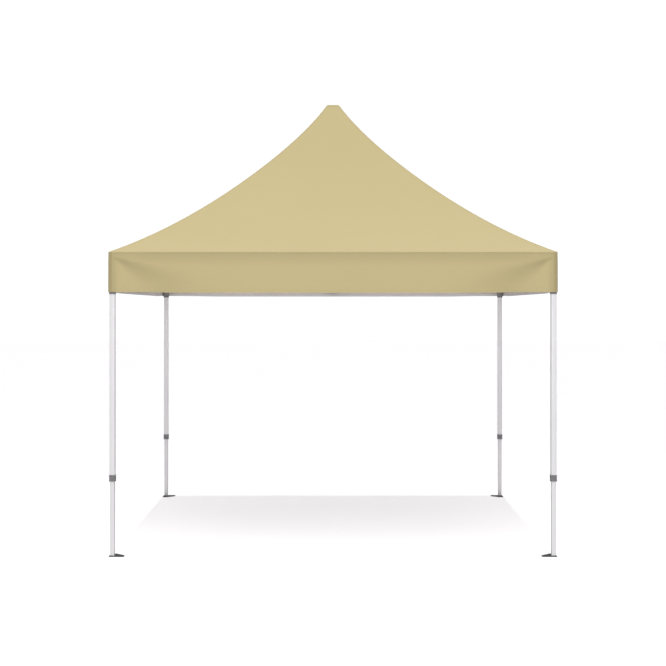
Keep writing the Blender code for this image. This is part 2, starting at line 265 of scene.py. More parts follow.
class Finish(Nodes):
    """A material in the making. Its colour and its relief are built up layer by layer."""

    def __init__(self, name, values):
        self.material = bpy.data.materials.new(name)
        self.material.use_nodes = True
        super().__init__(self.material.node_tree)
        self.shader = self.tree.nodes["Principled BSDF"]
        for socket, value in values.items():
            self.shader.inputs[socket].default_value = value
        self.place = self.add("TexCoord")["Object"]
        self.base = None
        self.normal = None

    def attribute(self, name):
        return self.add("Attribute", attribute_name=name)["Fac"]

    def noise(self, scale, detail=2.0, roughness=0.5, vector=None):
        """Noise over the object, or over another map. A scale for each axis stretches it."""
        vector = vector or self.place
        if isinstance(scale, tuple):
            vector = self.add("Mapping", {"Vector": vector, "Scale": scale})[0]
            scale = 1.0
        inputs = {"Vector": vector, "Scale": scale, "Detail": detail, "Roughness": roughness}
        return self.add("TexNoise", inputs)[0]

    def waves(self, vector, pitch, direction):
        """Rounded ridges at a pitch."""
        inputs = {"Vector": vector, "Scale": WAVE_PERIOD / pitch}
        return self.add("TexWave", inputs, bands_direction=direction)["Fac"]

    def worn_edges(self, patches, reach=0.0014):
        """1 along edges that stand out, broken up by patches, and 0 on flats."""
        true = self.add("NewGeometry")["Normal"]
        rounded = self.add("Bevel", {"Radius": reach}, samples=6)[0]
        likeness = self.add("VectorMath", {0: true, 1: rounded}, operation="DOT_PRODUCT")["Value"]
        return self.calculate("MULTIPLY", self.between(likeness, 0.995, 0.93), patches)

    def tones(self, share, first, second):
        """Starts the colour from two shades."""
        self.base = self.mix(share, colour(first), colour(second))

    def cover(self, share, shade):
        """Lays a shade over the colour so far."""
        self.base = self.mix(share, self.base, colour(shade))

    def relief(self, height, strength, distance):
        """Adds bumps to the relief so far."""
        inputs = {"Height": height, "Strength": strength, "Distance": distance}
        if self.normal:
            inputs["Normal"] = self.normal
        self.normal = self.add("Bump", inputs)[0]

    def done(self, roughness=None, metallic=None):
        links = {"Base Color": self.base, "Normal": self.normal}
        links |= {"Roughness": roughness, "Metallic": metallic}
        for socket, output in links.items():
            if output:
                self.tree.links.new(output, self.shader.inputs[socket])
        return self.material


# Materials

def weave(made, cloth):
    """A plain weave: two sets of rounded threads that pass over each other."""
    warp, weft = made.waves(cloth, THREAD_PITCH, "X"), made.waves(cloth, THREAD_PITCH, "Y")
    over = made.add("TexChecker", {"Vector": cloth, "Scale": 1 / THREAD_PITCH})["Fac"]
    under = made.calculate("SUBTRACT", 1.0, over)
    warp, weft = made.calculate("MULTIPLY", warp, over), made.calculate("MULTIPLY", weft, under)
    return made.calculate("ADD", warp, weft)


def canopy_fabric():
    """Coated polyester: sand-coloured, woven, a little darker where it is doubled, with painted shade over
    the valance, below the eave, beside its corners and in its folds.
    """
    sockets = {"Sheen Weight": 0.12, "Sheen Roughness": 0.5, "Specular IOR Level": 0.28}
    made = Finish("canopy_fabric", sockets)
    cloth = made.add("UVMap", uv_map="cloth")[0]
    threads = weave(made, cloth)
    clouds, dust, slack = made.noise(1.7, 3.0), made.noise(14, 5.0, 0.6), made.noise(7.0, 3.0, 0.45)
    fibres = made.noise((900, 60, 1), 2.0, vector=cloth)
    puckers = made.noise((150, 150, 1), 1.0, vector=cloth)
    made.tones(made.between(clouds, 0.3, 0.7), (215, 199, 149), (213, 197, 146))
    made.cover(made.between(threads, 0, 1, 0.10, 0.0), (170, 152, 100))
    made.cover(made.between(fibres, 0.3, 0.8, 0.0, 0.12), (222, 208, 166))
    made.cover(made.attribute("seam"), (196, 182, 138))
    # Painted shade over the valance, below the eave, beside its corners and in its folds; the corner strips
    # are darker too
    made.cover(made.attribute("shade"), (152, 140, 104))
    made.cover(made.between(dust, 0.55, 0.8, 0.0, 0.10), (196, 186, 160))
    made.relief(slack, 0.25, 0.004)
    made.relief(made.calculate("MULTIPLY", puckers, made.attribute("pucker")), 0.6, 0.0022)
    made.relief(threads, 0.5, 0.00012)
    return made.done(made.between(threads, 0, 1, 0.86, 0.72))


def canopy_lining():
    """The coated inner face of the same fabric: neutral grey, smoother, with the weave just showing."""
    made = Finish("canopy_lining", {"Specular IOR Level": 0.35})
    threads = weave(made, made.add("UVMap", uv_map="cloth")[0])
    clouds = made.noise(2.3, 4.0)
    made.tones(made.between(clouds, 0.3, 0.7), (226, 221, 219), (218, 213, 211))
    made.cover(made.between(threads, 0, 1, 0.12, 0.0), (170, 165, 162))
    made.cover(made.attribute("seam"), (200, 194, 190))
    made.relief(made.noise(9.0, 4.0), 0.25, 0.003)
    made.relief(threads, 0.35, 0.0001)
    return made.done(made.between(clouds, 0.3, 0.7, 0.52, 0.64))


def sewing_thread():
    """Twisted polyester thread, a shade lighter than the fabric."""
    made = Finish("sewing_thread", {"Sheen Weight": 0.2, "Specular IOR Level": 0.4})
    twist = made.waves(made.place, SEWING_PITCH, "DIAGONAL")
    made.tones(twist, (206, 190, 146), (224, 211, 174))
    made.cover(made.between(made.noise(60), 0.4, 0.7, 0.0, 0.25), (184, 168, 124))
    made.relief(twist, 0.5, 0.0001)
    return made.done(made.between(twist, 0, 1, 0.6, 0.48))


def white_lacquer():
    """Powder coat on aluminium tube: fine orange peel, handling marks, grey scuffs where edges wear."""
    made = Finish("white_lacquer", {"Specular IOR Level": 0.5, "Coat Weight": 0.15})
    smears = made.noise((90, 90, 4), 4.0, 0.6)
    scratches = made.noise((1400, 1400, 9))
    patches = made.between(made.noise(160, 4.0, 0.6), 0.42, 0.62, 0.3, 0.8)
    made.tones(made.between(made.noise(5.0, 3.0), 0.3, 0.7), (239, 237, 239), (235, 233, 236))
    made.cover(made.between(smears, 0.60, 0.85, 0.0, 0.22), (206, 205, 208))
    made.cover(made.worn_edges(patches, 0.002), (158, 157, 160))
    made.relief(made.between(scratches, 0.62, 0.7), 0.15, 0.0001)
    made.relief(made.noise(1100), 0.25, 0.00008)
    return made.done(made.between(smears, 0.3, 0.8, 0.26, 0.46))


def grey_moulding():
    """Glass-filled nylon: dark grey, eroded mould texture, paler scuffed edges and faint flow marks."""
    made = Finish("grey_moulding", {"Specular IOR Level": 0.42})
    flow = made.noise((30, 30, 90), 4.0, 0.55)
    grain = made.noise(420, 3.0, 0.6)
    patches = made.between(made.noise(120, 4.0, 0.65), 0.42, 0.6, 0.0, 0.6)
    made.tones(made.between(flow, 0.3, 0.7), (131, 129, 132), (121, 119, 122))
    made.cover(made.between(grain, 0.5, 0.75, 0.0, 0.2), (152, 150, 153))
    made.cover(made.worn_edges(patches), (164, 162, 164))
    made.relief(made.noise(2100), 0.5, 0.00012)
    return made.done(made.between(flow, 0.3, 0.7, 0.46, 0.58))


def dark_plate_paint():
    """Dark grey paint on steel plate, rubbed through to the metal along its edges, with dried dust; the wide
    pale edge band is partly worn metal and partly a painted highlight on the plate's edge faces.
    """
    made = Finish("dark_plate_paint", {"Specular IOR Level": 0.22})
    dust = made.noise(70, 5.0, 0.7)
    # Pale edge band: partly worn metal, partly a painted highlight on the plate's edge faces
    wear_and_highlight = made.worn_edges(made.between(made.noise(190, 4.0, 0.65), 0.40, 0.54), 0.003)
    made.tones(made.between(made.noise(34, 4.0, 0.6), 0.3, 0.7), (66, 64, 67), (57, 55, 58))
    made.cover(made.between(dust, 0.54, 0.80, 0.0, 0.30), (128, 124, 119))
    made.cover(wear_and_highlight, (178, 176, 174))
    made.relief(made.between(made.noise((25, 600, 25), 3.0), 0.58, 0.66), 0.3, 0.0001)
    made.relief(made.noise(900), 0.35, 0.0001)
    roughness = made.between(dust, 0.4, 0.75, 0.50, 0.72)
    return made.done(roughness, made.calculate("MULTIPLY", wear_and_highlight, 0.4))


def zinc_plate():
    """Zinc-plated fasteners: pale metal with the plating's blotches and fine turning marks."""
    made = Finish("zinc_plate", {"Metallic": 0.9, "Specular IOR Level": 0.5})
    blotches = made.noise(260, 3.0, 0.6)
    made.tones(made.between(blotches, 0.35, 0.65), (196, 197, 199), (170, 170, 168))
    made.cover(made.worn_edges(made.between(blotches, 0.45, 0.6, 0.0, 0.5), 0.0005), (132, 130, 126))
    made.relief(made.noise((3000, 3000, 200)), 0.3, 0.00006)
    return made.done(made.between(blotches, 0.3, 0.7, 0.28, 0.42))


def studio_floor():
    made = Finish("studio_floor", {"Roughness": 0.9, "Specular IOR Level": 0.1})
    made.tones(made.between(made.noise(0.8), 0.3, 0.7), (243, 242, 243), (242, 241, 242))
    return made.done()


# Mesh helpers

def finished(form):
    """Turns a closed form into a mesh whose faces point out."""
    form.normal_update()
    bmesh.ops.recalc_face_normals(form, faces=form.faces)
    if form.calc_volume(signed=True) < 0:
        bmesh.ops.reverse_faces(form, faces=form.faces)
    mesh = bpy.data.meshes.new("part")
    form.to_mesh(mesh)
    form.free()
    return mesh


def loft(loops, closed=False):
    """A skin over loops of points. It ends in flat caps, or runs back to its first loop."""
    form = bmesh.new()
    rings = [[form.verts.new(point) for point in loop] for loop in loops]
    following = rings[1:] + rings[:1] if closed else rings[1:]
    for low, high in zip(rings, following):
        for index in range(len(low)):
            after = (index + 1) % len(low)
            form.faces.new((low[index], low[after], high[after], high[index]))
    if not closed:
        form.faces.new(rings[0])
        form.faces.new(rings[-1])
    return finished(form)


def rounded_rectangle(half_x, half_y, radius, steps=CORNER_STEPS):
    points = []
    for quarter, (right, up) in enumerate(((1, 1), (-1, 1), (-1, -1), (1, -1))):
        for step in range(steps):
            angle = QUARTER_TURN * (quarter + step / (steps - 1))
            x = right * (half_x - radius) + radius * math.cos(angle)
            y = up * (half_y - radius) + radius * math.sin(angle)
            points.append((x, y))
    return points


def square_sweep(profile, closed=True):
    """A profile of (half width, height, corner radius) swept round a square."""
    loops = []
    for half, height, radius in profile:
        loops.append([(x, y, height) for x, y in rounded_rectangle(half, half, radius)])
    return loft(loops, closed)


def concentric(profile, half, radius):
    """Gives (half width, height) corner radii about one centre. The radius is the one at the half width."""
    return [(size, height, radius + size - half) for size, height in profile]


def turned(profile, sides=24):
    """A profile of (radius, height) turned round Z, with flat ends."""
    angles = [2 * math.pi * side / sides for side in range(sides)]
    return loft([[(r * math.cos(a), r * math.sin(a), z) for a in angles] for r, z in profile])


def block(low, high, bevel=0.0, segments=2):
    """A box, with rounded edges where it has a bevel."""
    form = bmesh.new()
    bmesh.ops.create_cube(form, size=1.0)
    low, high = Vector(low), Vector(high)
    form.transform(Matrix.Translation((low + high) / 2) @ Matrix.Diagonal((*(high - low), 1.0)))
    if bevel:
        edges = form.edges[:]
        bmesh.ops.bevel(form, geom=edges, offset=bevel, segments=segments, profile=0.5, affect="EDGES")
    return finished(form)


def plate(outline, bottom, top, bevel):
    """A flat outline raised between two heights, with rounded edges above and below."""
    form = bmesh.new()
    face = form.faces.new([form.verts.new((x, y, bottom)) for x, y in outline])
    made = bmesh.ops.extrude_face_region(form, geom=[face])["geom"]
    raised = [part for part in made if isinstance(part, bmesh.types.BMVert)]
    bmesh.ops.translate(form, vec=(0, 0, top - bottom), verts=raised)
    form.normal_update()
    rims = [edge for edge in form.edges if abs(edge.verts[0].co.z - edge.verts[1].co.z) < bevel / 2]
    bmesh.ops.bevel(form, geom=rims, offset=bevel, segments=2, profile=0.5, affect="EDGES")
    return finished(form)


def moved(mesh, matrix):
    mesh.transform(matrix)
    return mesh


def along_axis(mesh, centre, axis):
    """Turns a mesh made along Z to another axis and moves it to its place."""
    turn = Vector(axis).to_track_quat("Z", "Y").to_matrix().to_4x4()
    return moved(mesh, Matrix.Translation(centre) @ turn)


def joined(meshes):
    form = bmesh.new()
    for mesh in meshes:
        form.from_mesh(mesh)
        bpy.data.meshes.remove(mesh)
    mesh = bpy.data.meshes.new("joined")
    form.to_mesh(mesh)
    form.free()
    return mesh


def fused(solids, cutters=()):
    """One closed mesh: the solids joined, less the cutters."""
    helpers = [added("helper", mesh) for mesh in (*solids, *cutters)]
    for index, helper in enumerate(helpers[1:], start=1):
        step = helpers[0].modifiers.new(f"step_{index}", "BOOLEAN")
        step.operation = "UNION" if index < len(solids) else "DIFFERENCE"
        step.object = helper
    bpy.context.view_layer.update()
    graph = bpy.context.evaluated_depsgraph_get()
    mesh = bpy.data.meshes.new_from_object(helpers[0].evaluated_get(graph))
    for helper in helpers:
        bpy.data.objects.remove(helper, do_unlink=True)
    return mesh


def added(name, data):
    """A new object in the scene."""
    made = bpy.data.objects.new(name, data)
    bpy.context.scene.collection.objects.link(made)
    return made


def piece(name, mesh, finish, replaces=(), body="frame"):
    """Adds a piece to the tent, with its material, its body and the nodes that it stands for."""
    material, slot = finish
    made = added(name, mesh)
    mesh.materials.clear()
    mesh.materials.append(material)
    mesh.shade_smooth()
    mesh.set_sharp_from_angle(angle=SMOOTH_ANGLE)
    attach(made, body)
    if replaces:
        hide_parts(*replaces)
    return made


def add_parts(finishes, name, place, rows):
    """Adds the parts of a corner or a side. A row is a part, its mesh, its finish, the node that it
    stands for if there is one, and its body if that isn't the frame."""
    for part, mesh, finish, node, *body in rows:
        nodes = (f"{node}_{name}",) if node else ()
        piece(f"{part}_{name}", moved(mesh, place), finishes[finish], nodes, *body)


def quarter_turn(quarter):
    return Matrix.Rotation(quarter * QUARTER_TURN, 4, "Z")


def corner_place(quarter):
    """Places a corner's own parts on its leg."""
    return quarter_turn(quarter) @ Matrix.Translation((-LEG_AT, -LEG_AT, 0))


# Canopy: one sheet, made of rows up the profile and columns round the tent

def roof_height(half):
    way_in = (HALF_WIDTH - half) / (HALF_WIDTH - PEAK_HALF)
    return EAVE_Z + (PEAK_Z - EAVE_Z) * sum(share * way_in**power for power, share in ROOF_RISE)


def rounded_turn(before, corner, after, reach, steps=6):
    """Points that round a profile's corner, from a reach before it to a reach after it."""
    before, corner, after = (np.array(point, float) for point in (before, corner, after))
    start = corner + (before - corner) / np.linalg.norm(before - corner) * reach
    end = corner + (after - corner) / np.linalg.norm(after - corner) * reach
    shares = [step / steps for step in range(steps + 1)]
    return [start * (1 - s) ** 2 + corner * 2 * s * (1 - s) + end * s**2 for s in shares]


class Profile:
    """The outer line of the canopy, from the hem to the middle of the peak, by the length along it."""

    def __init__(self):
        halves = np.linspace(HALF_WIDTH, PEAK_HALF, PROFILE_POINTS)
        roof = [(half, roof_height(half)) for half in halves]
        clear = PROFILE_POINTS // 100
        hem, middle = (HALF_WIDTH, HEM_Z), (0, PEAK_Z)
        points = [hem, *rounded_turn(hem, roof[0], roof[clear], EAVE_RADIUS), *roof[clear:-clear]]
        points += [*rounded_turn(roof[-clear], roof[-1], middle, PEAK_RADIUS), middle]
        self.points = np.array([tuple(point) for point in points])
        steps = np.linalg.norm(np.diff(self.points, axis=0), axis=1)
        self.length = np.concatenate([[0], np.cumsum(steps)])
        self.eave = EAVE_Z - HEM_Z
        self.below, self.above = self.eave - EAVE_BAND_BELOW, self.eave + EAVE_BAND_ABOVE
        self.top = float(self.length[-1])
        self.peak = self.top - PEAK_HALF
        self.patch = self.peak - PATCH_REACH

    def at(self, along):
        """Half width and height at a length along the profile."""
        half = np.interp(along, self.length, self.points[:, 0])
        return half, np.interp(along, self.length, self.points[:, 1])

    def outward(self, along):
        """The outward direction in the profile's own plane."""
        reach = 0.0012
        half_before, z_before = self.at(along - reach)
        half_after, z_after = self.at(along + reach)
        across, up = z_after - z_before, half_before - half_after
        size = np.hypot(across, up)
        return across / size, up / size

    def rows(self):
        """The lengths at which the mesh has its rows, closer where a seam or a fold needs them."""
        eave, peak, beside = self.eave, self.peak, 0.006
        rows = [0.0, 0.0012, 0.006, 0.012, 0.018, eave - 0.0065, eave + 0.0075, peak - 0.014]
        rows += [self.top - inset for inset in (0.030, 0.020, 0.010, 0.003)]
        for edge in (HEM_BAND, self.below, self.above, self.patch):
            rows += [edge - STEP / 2, edge + STEP / 2]
        for low, high, count in (
            (HEM_BAND + beside, eave - CREASE_DEPTH, VALANCE_ROWS),
            (eave - CREASE_DEPTH, self.below - 0.004, CREASE_ROWS),
            (eave - EAVE_RADIUS, eave + EAVE_RADIUS, TURN_ROWS),
            (self.above + beside, self.patch - beside, ROOF_ROWS),
            (peak - PEAK_RADIUS, peak + PEAK_RADIUS, TURN_ROWS),
        ):
            rows += np.linspace(low, high, count).tolist()
        return np.unique(rows)


def soft_step(value, low, high):
    share = np.clip((value - low) / (high - low), 0, 1)
    return share * share * (3 - 2 * share)


def bell(value, middle, width):
    return np.exp(-(((value - middle) / width) ** 2))


def crease_strength(corner, depth):
    """1 along the crease that runs from a top corner down and along, wider and weaker further on."""
    middle = 0.028 + 0.36 * corner
    above, below = 0.008 + 0.13 * corner, 0.012 + 0.45 * np.maximum(0, corner - 0.06)
    width = np.where(depth < middle, above, below)
    return bell(depth, middle, width) * bell(corner, 0, 0.42)


def valance_folds(corner, depth):
    """How far the valance stands out near its corners: a pull crease from the top corner with a swell
    above it, a kick at the hem beside the leg and a hollow further in."""
    crease = PULL_CREASE * crease_strength(corner, depth) * soft_step(corner, 0.06, 0.14)
    lens = CREASE_LENS * bell(depth, 0.020 + 0.20 * corner, 0.026) * soft_step(corner, 0.04, 0.16)
    lens = lens * bell(corner, 0, 0.30)
    kick = HEM_KICK * soft_step(depth, 0.070, 0.200) * bell(corner, 0.078, 0.036)
    hollow = HEM_HOLLOW * soft_step(depth, 0.110, 0.200) * bell(corner, 0.370, 0.110)
    return lens + kick - crease - hollow


def valance_drift(across, depth, quarter):
    """The slow waves of cloth that hangs free between its ends."""
    random = np.random.default_rng(DRIFT_SEED + quarter)
    drift = 1.0
    for length in DRIFT_LENGTHS:
        drift = drift + np.sin(2 * math.pi * (across / length + random.random()) + 3 * depth)
    return DRIFT * drift * soft_step(depth, 0.03, 0.24)


def roof_slack(across, up, quarter):
    """Shallow waves between the lines that hold the roof tight."""
    random = np.random.default_rng(SLACK_SEED + quarter)
    slack = 0.0
    for length in SLACK_LENGTHS:
        turn = random.uniform(-0.6, 0.6)
        phase = (across * math.cos(turn) + up * math.sin(turn)) / length + random.random()
        slack = slack + length * np.sin(2 * math.pi * phase)
    return SLACK * slack


class Canopy:
    """The grid of the sheet: places and outward directions of its rows and columns, side after side."""

    def __init__(self):
        self.profile = Profile()
        self.along = self.profile.rows()
        self.depth = (self.profile.eave - self.along)[:, None]
        self.half, self.height = self.profile.at(self.along)
        self.radius = self.corner_radii()
        self.reach = self.half - self.radius + self.radius * math.pi / 4
        self.squeeze = np.minimum(1.0, self.reach / SQUEEZED_UNDER)
        self.corner = self.corner_distances()
        self.make_points()

    def corner_radii(self):
        share = soft_step(self.along, self.profile.eave, self.profile.eave + 0.25)
        wanted = CORNER_RADIUS + (HIP_RADIUS - CORNER_RADIUS) * share
        return np.minimum(wanted, self.half * 0.4)

    def corner_distances(self):
        """Each row's distances from a corner, for the columns from that corner to a side's middle."""
        last = NEAR_COLUMNS[-1]
        fine = np.linspace(last, FINE_COLUMNS_TO, FINE_COLUMNS + 1)[1:]
        coarse = np.linspace(FINE_COLUMNS_TO, HALF_WIDTH, COARSE_COLUMNS + 1)[1:]
        shares = (np.concatenate([fine, coarse]) - last) / (HALF_WIDTH - last)
        near = np.array(NEAR_COLUMNS) * self.squeeze[:, None]
        start = near[:, -1:]
        return np.concatenate([near, start + (self.reach[:, None] - start) * shares], axis=1)

    def side_columns(self, quarter):
        """Across places, corner distances and horizontal directions of one side, from corner to corner."""
        distance = np.concatenate([self.corner, self.corner[:, -2:0:-1]], axis=1)
        sign = np.where(np.arange(distance.shape[1]) < self.corner.shape[1], -1.0, 1.0)
        across = sign * (self.reach[:, None] - distance)
        radius = self.radius[:, None]
        flat = self.half[:, None] - radius
        angle = np.maximum(0, np.abs(across) - flat) / radius
        x = np.where(angle > 0, sign * (flat + radius * np.sin(angle)), across)
        y = -(flat + radius * np.cos(angle))
        out_x, out_y = sign * np.sin(angle), -np.cos(angle)
        cos, sin = round(math.cos(quarter * QUARTER_TURN)), round(math.sin(quarter * QUARTER_TURN))
        place = (x * cos - y * sin, x * sin + y * cos)
        outward = (out_x * cos - out_y * sin, out_x * sin + out_y * cos)
        return across, distance, place, outward

    def make_points(self):
        level, up = (part[:, None] for part in self.profile.outward(self.along))
        sides = []
        for quarter in range(4):
            across, distance, place, outward = self.side_columns(quarter)
            upright = np.broadcast_to(up, across.shape)
            direction = np.stack([outward[0] * level, outward[1] * level, upright], axis=-1)
            spot = np.stack([*place, self.height[:, None] - self.sag(distance)], axis=-1)
            sides.append((spot, direction, self.folds(across, distance, quarter), distance, across))
        gathered = [np.concatenate(parts, axis=1) for parts in zip(*sides)]
        spot, self.direction, fold, self.distance, self.across = gathered
        self.on_hip = (self.depth < 0) & (self.distance < HIP_BAND * self.squeeze[:, None])
        self.on_strip = (self.depth > 0) & (self.distance < CORNER_STRIP)
        self.on_hem = (self.along < HEM_BAND)[:, None]
        self.layers = self.layer_height()
        base = spot + self.direction * fold[..., None]
        below = CLOTH_THICKNESS + LAYER * (1.6 * self.on_hem + 0.6 * self.on_hip)
        self.outer = base + self.direction * self.layers[..., None]
        self.inner = base - self.direction * below[..., None]

    def sag(self, distance):
        """How much lower the valance hangs away from the legs, most at its hem."""
        share = np.clip(self.depth / self.profile.eave, 0, 1)
        return share * (HEM_SAG * soft_step(distance, 0.18, 0.50) - HEM_LIFT)

    def layer_height(self):
        """How much the doubled strips raise the outer face."""
        on_eave = (self.depth < EAVE_BAND_BELOW) & (self.depth > -EAVE_BAND_ABOVE)
        on_patch = (self.along > self.profile.patch)[:, None]
        rows = np.select([on_patch, on_eave, self.on_hem], [1.0, 1.3, 0.5], 0.0)
        return LAYER * np.maximum(rows, self.on_hip | self.on_strip)

    def folds(self, across, distance, quarter):
        """The folds of one side, measured outwards."""
        depth = self.depth
        hanging = valance_folds(distance, depth) + valance_drift(across, depth, quarter)
        hanging = hanging * soft_step(distance, 0.0, 0.030) - EAVE_TUCK * soft_step(depth, 0.075, 0.010)
        held = soft_step(-depth, 0.0, 0.30) * soft_step(self.profile.peak - self.along, 0.05, 0.60)[:, None]
        lying = roof_slack(across, -depth, quarter) * (1 - np.exp(-distance / 0.22)) * held
        return np.where(depth > 0, hanging, lying)

    def shading(self):
        """Attributes for the fabric: doubled cloth, painted shade over the valance, below the eave, beside
        its corners and in its folds, darker corner strips, and puckers beside the seams.
        """
        depth, distance, hanging = self.depth, self.distance, self.depth > 0
        above_eave = (depth < 0) & (depth > -EAVE_BAND_ABOVE)
        seam = np.where((self.layers > 0.3 * LAYER) & ~above_eave, SEAM_TONE, 0.0)
        seam = np.where(self.on_hem, HEM_TONE, seam)
        # Painted shade: over the valance, below the eave, beside the corners, along the crease and in the
        # hollow
        eave = EAVE_PAINTED_SHADE * (1 - soft_step(depth, 0.0, 0.105)) * (1 - 0.35 * bell(distance, 0.14, 0.08))
        beside = CORNER_PAINTED_SHADE * (1 - soft_step(distance, 0.018, 0.070))
        crease = CREASE_PAINTED_SHADE * crease_strength(distance, depth) * soft_step(distance, 0.010, 0.035)
        crease = crease * (1 + 0.25 * bell(distance, 0.10, 0.05))
        hollow = HOLLOW_PAINTED_SHADE * soft_step(depth, 0.09, 0.16) * bell(distance, 0.36, 0.13)
        shades = [eave * hanging, STRIP_SHADE * self.on_strip, beside * hanging, crease, hollow]
        lines = [bell(distance, HIP_BAND, PUCKER_WIDTH) * (depth < 0)]
        lines.append(bell(distance, CORNER_STRIP, PUCKER_WIDTH) * hanging)
        for line in (HEM_BAND, self.profile.eave, self.profile.above, self.profile.patch):
            puckers = bell(self.along, line, PUCKER_WIDTH)[:, None]
            lines.append(np.broadcast_to(puckers, distance.shape))
        return seam, VALANCE_PAINTED_SHADE * hanging + np.maximum.reduce(shades), np.maximum.reduce(lines)


def ring_faces(low, high):
    """The point numbers of the faces between rings of points and the rings above them."""
    corners = [low, np.roll(low, -1, axis=-1), np.roll(high, -1, axis=-1), high]
    return np.stack(corners, -1).reshape(-1, 4)


def sheet_mesh(canopy):
    """The outer and inner faces of the sheet, closed round the hem and at the middle of the peak."""
    rows, columns = canopy.outer.shape[:2]
    lip = (canopy.outer[0] + canopy.inner[0]) / 2 - np.array([0, 0, CLOTH_THICKNESS])
    middles = [canopy.outer[-1].mean(axis=0), canopy.inner[-1].mean(axis=0)]
    points = np.concatenate([canopy.outer.reshape(-1, 3), canopy.inner.reshape(-1, 3), lip, middles])
    outside = np.arange(rows * columns).reshape(rows, columns)
    inside = outside + rows * columns
    rim = 2 * rows * columns + np.arange(columns)
    quads = [
        ring_faces(outside[:-1], outside[1:]),
        ring_faces(inside[:-1], inside[1:])[:, [0, 3, 2, 1]],
        ring_faces(rim, outside[0]),
        ring_faces(rim, inside[0])[:, [1, 0, 3, 2]],
    ]
    faces = np.concatenate(quads).tolist()
    materials = np.repeat([0, 1, 0, 1], [len(part) for part in quads]).tolist()
    for i in range(columns):
        j = (i + 1) % columns
        faces.append([int(outside[-1][i]), int(outside[-1][j]), len(points) - 2])
        faces.append([int(inside[-1][j]), int(inside[-1][i]), len(points) - 1])
        materials += [0, 1]
    mesh = bpy.data.meshes.new("canopy")
    mesh.from_pydata(points.tolist(), [], faces)
    mesh.polygons.foreach_set("material_index", materials)
    return mesh


def per_point(canopy, values):
    """A value for each point of the sheet's mesh, from a grid of values."""
    values = np.broadcast_to(values, canopy.distance.shape).astype(np.float32)
    ends = np.full(2, values[-1].mean(), np.float32)
    return np.concatenate([values.ravel(), values.ravel(), values[0], ends])


def add_cloth_map(canopy, mesh):
    """A map in metres of cloth: the way across a side and the way up the profile."""
    corners = np.zeros(len(mesh.loops), np.int32)
    mesh.loops.foreach_get("vertex_index", corners)
    ways = [per_point(canopy, grid)[corners] for grid in (canopy.across, canopy.along[:, None])]
    mesh.uv_layers.new(name="cloth").data.foreach_set("uv", np.stack(ways, -1).ravel())


def make_canopy(canopy):
    mesh = sheet_mesh(canopy)
    add_cloth_map(canopy, mesh)
    for name, values in zip(("seam", "shade", "pucker"), canopy.shading()):
        mesh.attributes.new(name, "FLOAT", "POINT").data.foreach_set("value", per_point(canopy, values))
    mesh.materials.append(canopy_fabric())
    mesh.materials.append(canopy_lining())
    mesh.shade_smooth()
    made = added("canopy", mesh)
    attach(made, "frame")
    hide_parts(*[f"{part}_{side}" for side in SIDES for part in ("roof_panel", "valance")])
    return made


def line_at_row(canopy, along):
    """Points and directions right round the tent at one length along the profile."""
    row = float(np.interp(along, canopy.along, np.arange(len(canopy.along))))
    low = int(row)
    share = row - low
    line = []
    for grid in (canopy.outer, canopy.direction):
        points = grid[low] * (1 - share) + grid[low + 1] * share
        line.append(np.vstack([points, points[:1]]))
    return line


def line_at_corner(canopy, columns, distance, low, high):
    """Points and directions up the columns beside a corner, at one distance from it."""
    line = [], []
    for row in np.flatnonzero((canopy.along >= low) & (canopy.along <= high)):
        known = canopy.distance[row, columns]
        for grid, found in zip((canopy.outer, canopy.direction), line):
            squeezed = distance * canopy.squeeze[row]
            found.append([np.interp(squeezed, known, grid[row, columns, axis]) for axis in range(3)])
    return [np.array(points) for points in line]


def seam_lines(canopy):
    """Where the canopy is sewn: hem, eave, peak patch, hips and corner strips."""
    profile, inset = canopy.profile, STITCH_INSET
    hip, strip = HIP_BAND - inset, CORNER_STRIP - inset
    rows = (HEM_BAND - inset, profile.below + inset, profile.above - inset, profile.patch + inset)
    lines = [line_at_row(canopy, along) for along in rows]
    count = canopy.outer.shape[1]
    side = count // 4
    for quarter in range(4):
        up_to_middle = np.arange(side // 2)
        for columns in (quarter * side + up_to_middle, ((quarter + 1) * side - up_to_middle) % count):
            lines.append(line_at_corner(canopy, columns, hip, profile.above, profile.patch))
            lines.append(line_at_corner(canopy, columns, strip, HEM_BAND, profile.below))
    return lines


def stitches(lines):
    """A lozenge for each stitch along the lines."""
    vertices, faces = [], []
    upper, lower = [(0, 2, 4), (2, 1, 4), (1, 3, 4), (3, 0, 4)], [(2, 0, 5), (1, 2, 5), (3, 1, 5), (0, 3, 5)]
    lozenge = np.array(upper + lower)
    count = 0
    for points, directions in lines:
        lengths = np.concatenate([[0], np.cumsum(np.linalg.norm(np.diff(points, axis=0), axis=1))])
        places = np.arange(STITCH_PITCH / 2, lengths[-1], STITCH_PITCH)
        spot, before, after, out = (
            np.stack([np.interp(places + shift, lengths, source[:, k]) for k in range(3)], -1)
            for shift, source in ((0, points), (-0.001, points), (0.001, points), (0, directions))
        )
        ahead = after - before
        ahead /= np.linalg.norm(ahead, axis=1)[:, None]
        out = out - ahead * (ahead * out).sum(axis=1)[:, None]
        out /= np.linalg.norm(out, axis=1)[:, None]
        long, wide = ahead * STITCH_LENGTH / 2, np.cross(out, ahead) * STITCH_WIDTH / 2
        six = [spot - long, spot + long, spot + wide, spot - wide]
        six += [spot + out * STITCH_HEIGHT, spot - out * STITCH_HEIGHT * 0.5]
        vertices.append(np.stack(six, axis=1).reshape(-1, 3))
        firsts = count + 6 * np.arange(len(places))
        faces.append((firsts[:, None, None] + lozenge).reshape(-1, 3))
        count += 6 * len(places)
    mesh = bpy.data.meshes.new("stitches")
    mesh.from_pydata(np.concatenate(vertices).tolist(), [], np.concatenate(faces).tolist())
    return mesh


# Legs and their fittings

